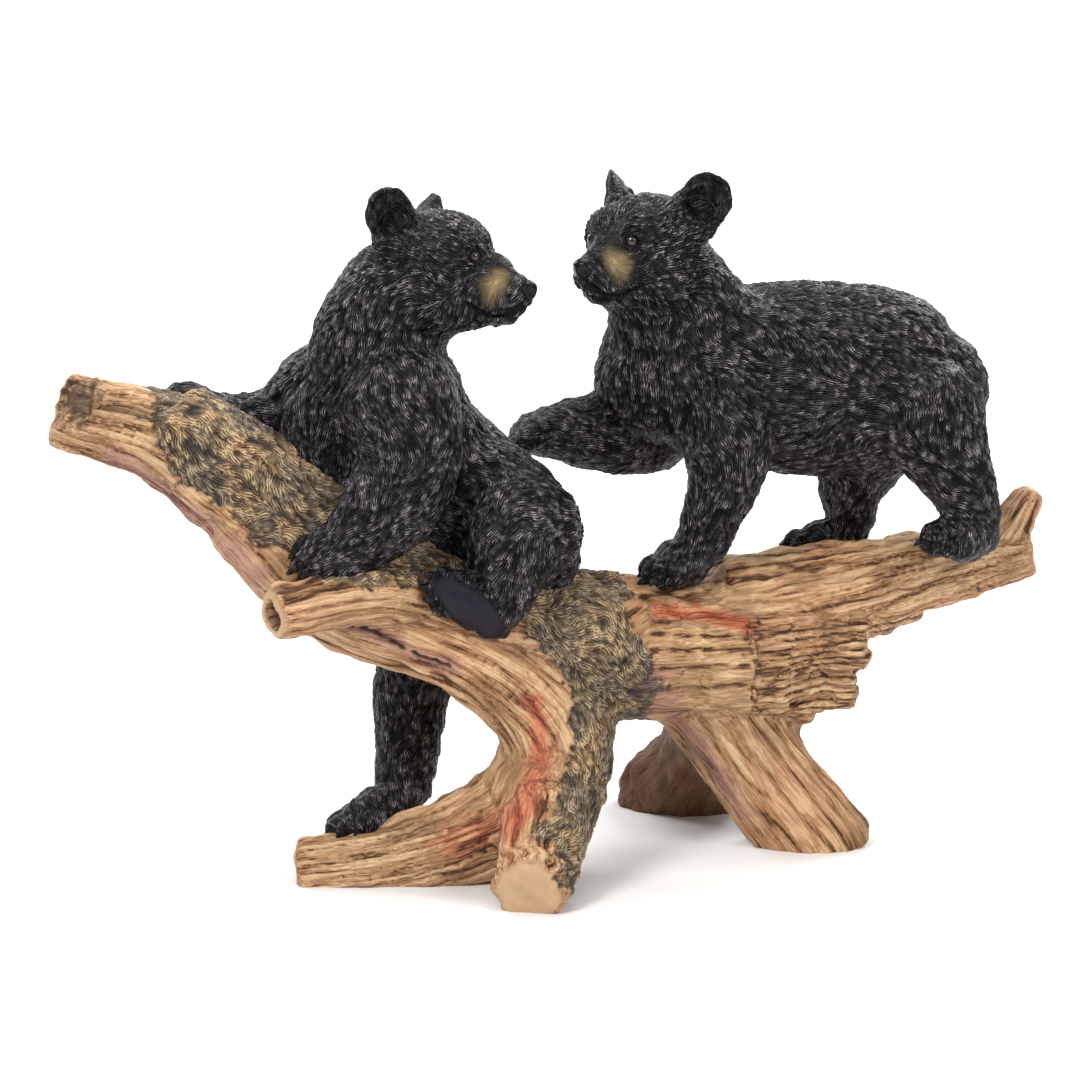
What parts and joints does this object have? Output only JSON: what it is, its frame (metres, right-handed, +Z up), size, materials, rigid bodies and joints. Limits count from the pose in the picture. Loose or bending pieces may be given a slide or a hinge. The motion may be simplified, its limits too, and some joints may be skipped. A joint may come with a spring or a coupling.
{
  "type": "garden statue",
  "caption": "Painted garden statue of bear cubs on a driftwood log: one climbs over the log and one stands on it with a paw raised.",
  "frame": {"origin": "on the ground below the middle of the statue's bounding box", "axes": "+X along the log towards the standing cub's tail, -Y towards the front, +Z up"},
  "size_m": [0.7994, 0.3742, 0.56],
  "materials": {
    "driftwood": "hand-painted cast resin, tan wood with brown wash, mossy bark and red stains",
    "black_fur": "hand-painted cast resin, satin black fur with tan muzzle patches"
  },
  "bodies": {
    "root": {"log": "driftwood", "climbing_cub": "black_fur", "standing_cub": "black_fur"}
  },
  "joints": []
}
